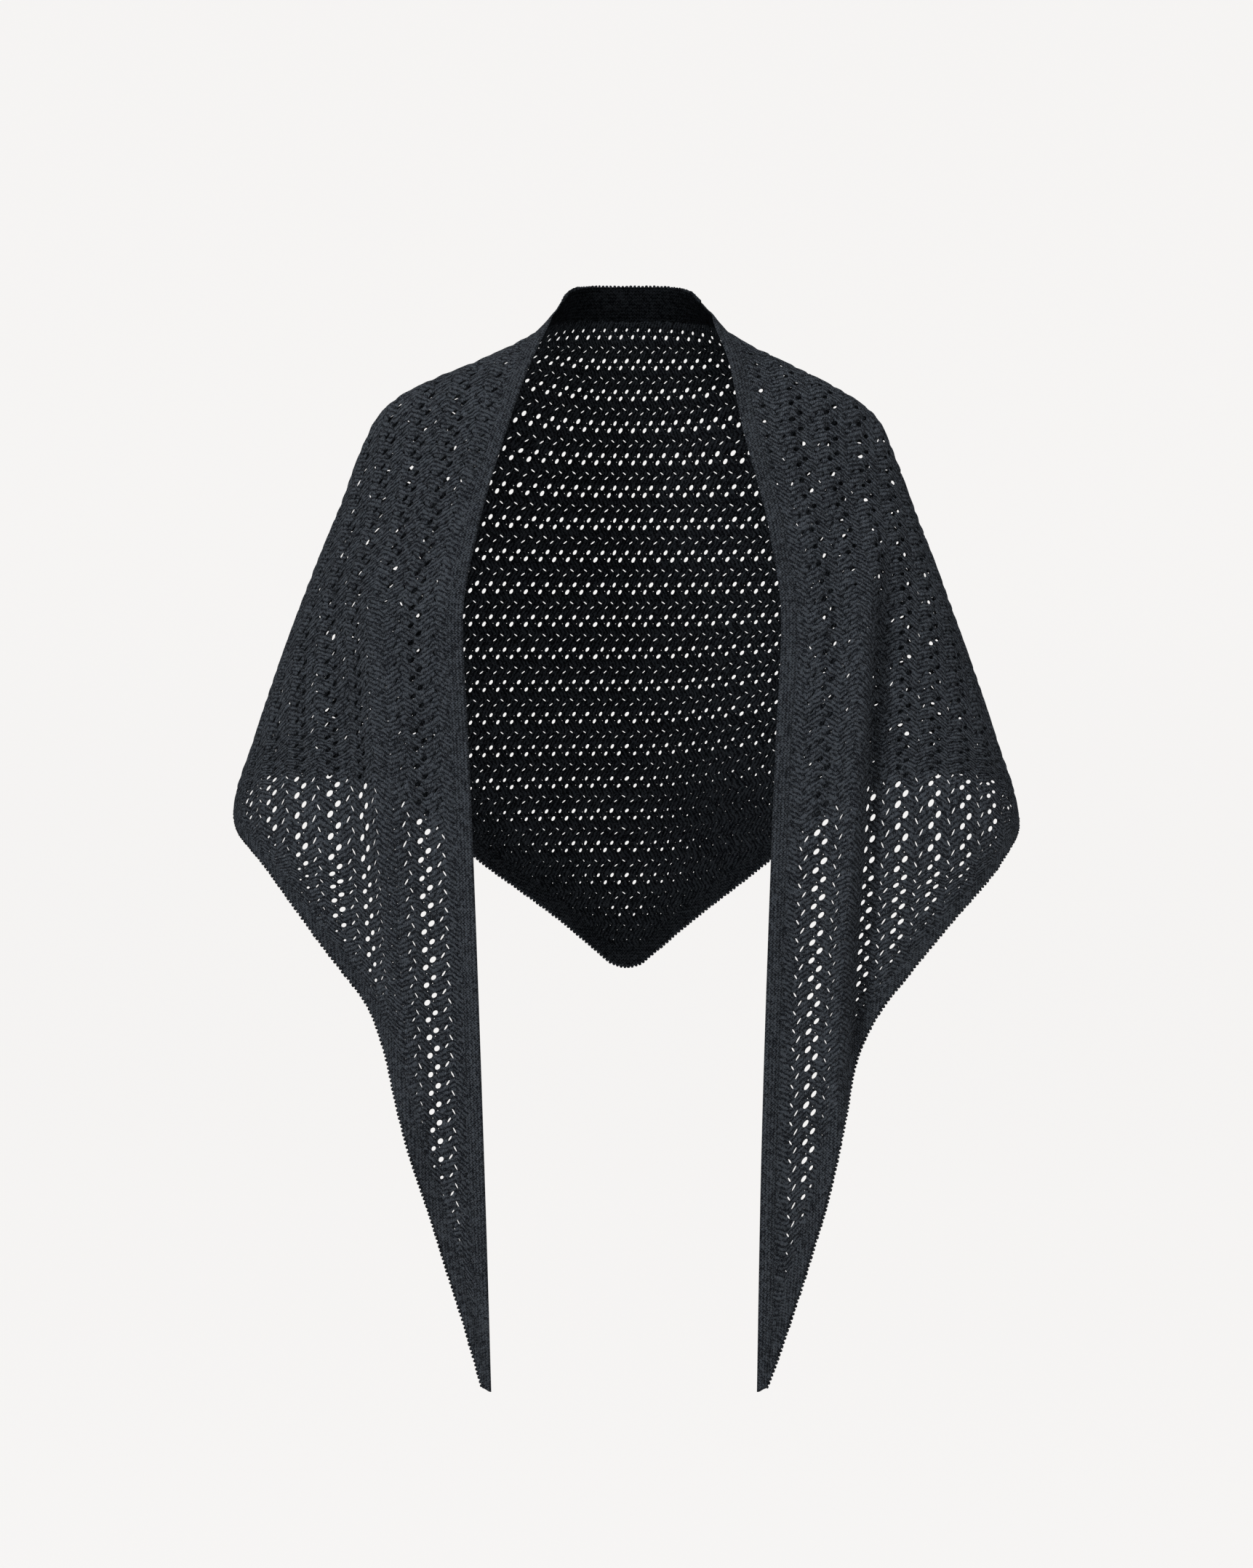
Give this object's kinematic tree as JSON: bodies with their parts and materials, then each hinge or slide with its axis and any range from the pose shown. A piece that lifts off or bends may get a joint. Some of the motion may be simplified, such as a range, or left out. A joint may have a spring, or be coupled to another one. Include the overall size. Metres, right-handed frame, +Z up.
{
  "type": "lace shawl",
  "caption": "Wide shallow triangular shawl of knitted lace, worn open over the shoulders, with a point behind and two long front ends.",
  "frame": {"origin": "middle of the neck, level with the tops of the shoulders, where the wearer holds the shawl up", "axes": "+Z up, +Y towards the wearer's back, +X on the right of a front view (the wearer's left)"},
  "size_m": [0.6479, 0.2716, 0.91],
  "materials": {
    "lace": "matt heathered charcoal navy wool, lace knit",
    "band": "matt heathered charcoal navy wool, close knit",
    "edging": "matt heathered charcoal navy wool, close knit"
  },
  "bodies": {
    "root": {"lace_back": "lace", "lace_left": "lace", "lace_right": "lace", "band_neck": "band", "band_left": "band", "band_right": "band", "edging_left": "edging", "edging_right": "edging"}
  },
  "joints": []
}
